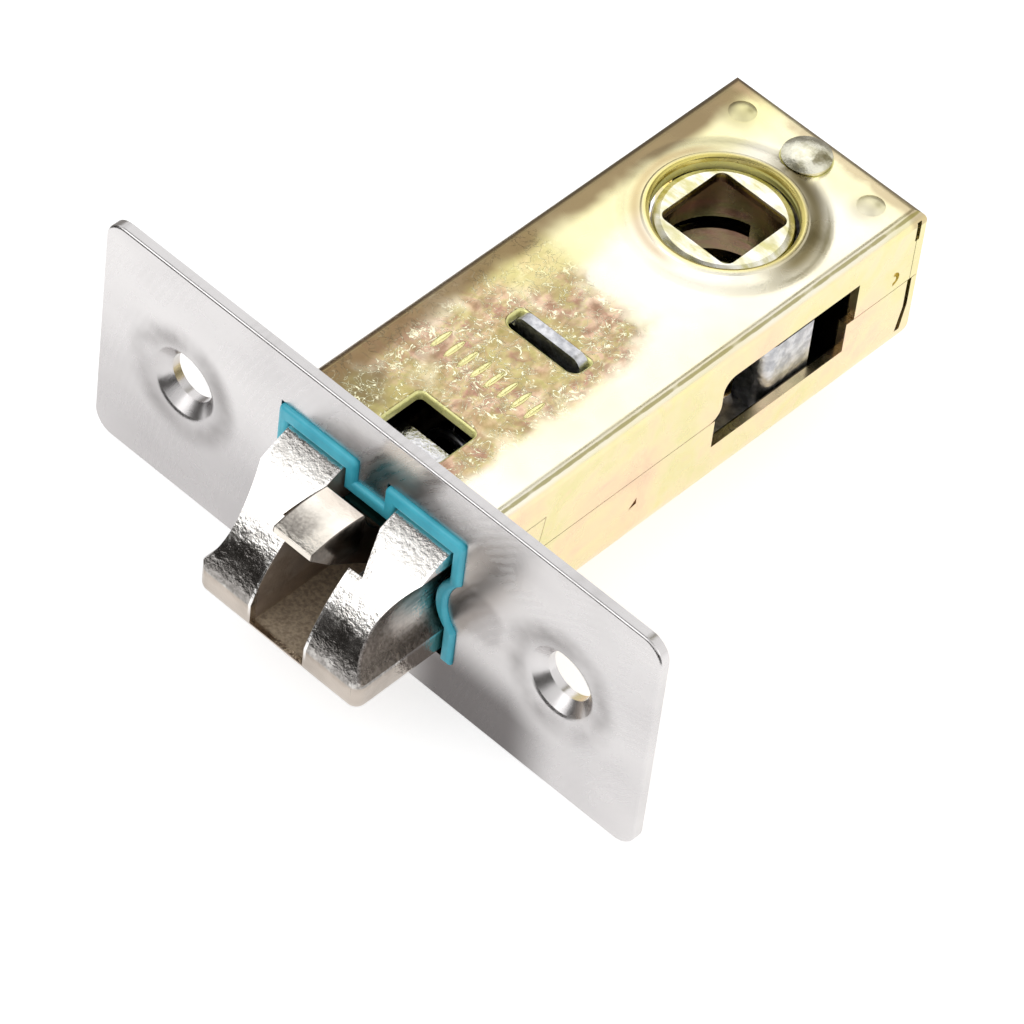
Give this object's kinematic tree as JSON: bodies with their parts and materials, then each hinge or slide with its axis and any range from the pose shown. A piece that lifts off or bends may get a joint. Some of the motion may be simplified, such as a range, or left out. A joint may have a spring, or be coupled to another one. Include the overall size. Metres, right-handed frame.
{
  "type": "door latch",
  "caption": "Door latch with a flat case, a bevelled sprung bolt with a centre lever, a square-holed follower and a face plate with dished screw holes.",
  "frame": {"origin": "centre of the face plate's front face, where the bolt comes out", "axes": "+X along the face plate, +Y into the door along the case, +Z along the spindle, on the bolt's bevelled side"},
  "size_m": [0.06, 0.0626, 0.024],
  "materials": {
    "plate_steel": "satin stainless steel",
    "collar_plastic": "semi-gloss teal plastic",
    "case_zinc": "yellow passivated zinc on steel",
    "inner_zinc": "white zinc on steel",
    "rivet_zinc": "bright zinc on steel",
    "spring_steel": "drawn spring wire",
    "bolt_nickel": "nickel plate on a cast surface",
    "washer_plastic": "black plastic",
    "lever_nickel": "satin nickel plate on a casting",
    "follower_zinc": "yellow passivated zinc on steel"
  },
  "bodies": {
    "case": {"face_plate": "plate_steel", "bolt_collar": "collar_plastic", "case_upper": "case_zinc", "case_lower": "case_zinc", "guide_bulkhead": "inner_zinc", "rear_rivet": "rivet_zinc", "rear_spacer": "inner_zinc", "bolt_spring": "spring_steel"},
    "bolt": {"latch_bolt": "bolt_nickel", "bolt_stem": "inner_zinc", "stem_pin": "inner_zinc", "stop_washer": "washer_plastic", "stem_clip": "spring_steel", "carriage": "inner_zinc", "lever_pin": "inner_zinc"},
    "lever": {"anti_friction_lever": "lever_nickel"},
    "follower": {"follower_upper_cup": "follower_zinc", "follower_cam": "follower_zinc", "follower_lower_cup": "follower_zinc"}
  },
  "joints": [
    {"name": "bolt_slide", "type": "slide", "parent": "case", "child": "bolt", "axis": [0, 1, 0], "range_m": [0, 0.0095], "stiffness_N_per_m": 500, "springref_m": -0.006, "deforming": ["bolt_spring"]},
    {"name": "follower_turn", "type": "hinge", "parent": "case", "child": "follower", "pos_m": [0, 0.04, 0], "axis": [0, 0, 1], "range_deg": [0, 76.35]},
    {"name": "lever_tilt", "type": "hinge", "parent": "bolt", "child": "lever", "pos_m": [0, 0.0008, -0.001], "axis": [1, 0, 0], "range_deg": [0, 52.9]}
  ],
  "couplings": [
    {"joint": "follower_turn", "follows": "bolt_slide", "rad_per_m": 140.18},
    {"joint": "lever_tilt", "follows": "bolt_slide", "rad_per_m": 97.004}
  ]
}
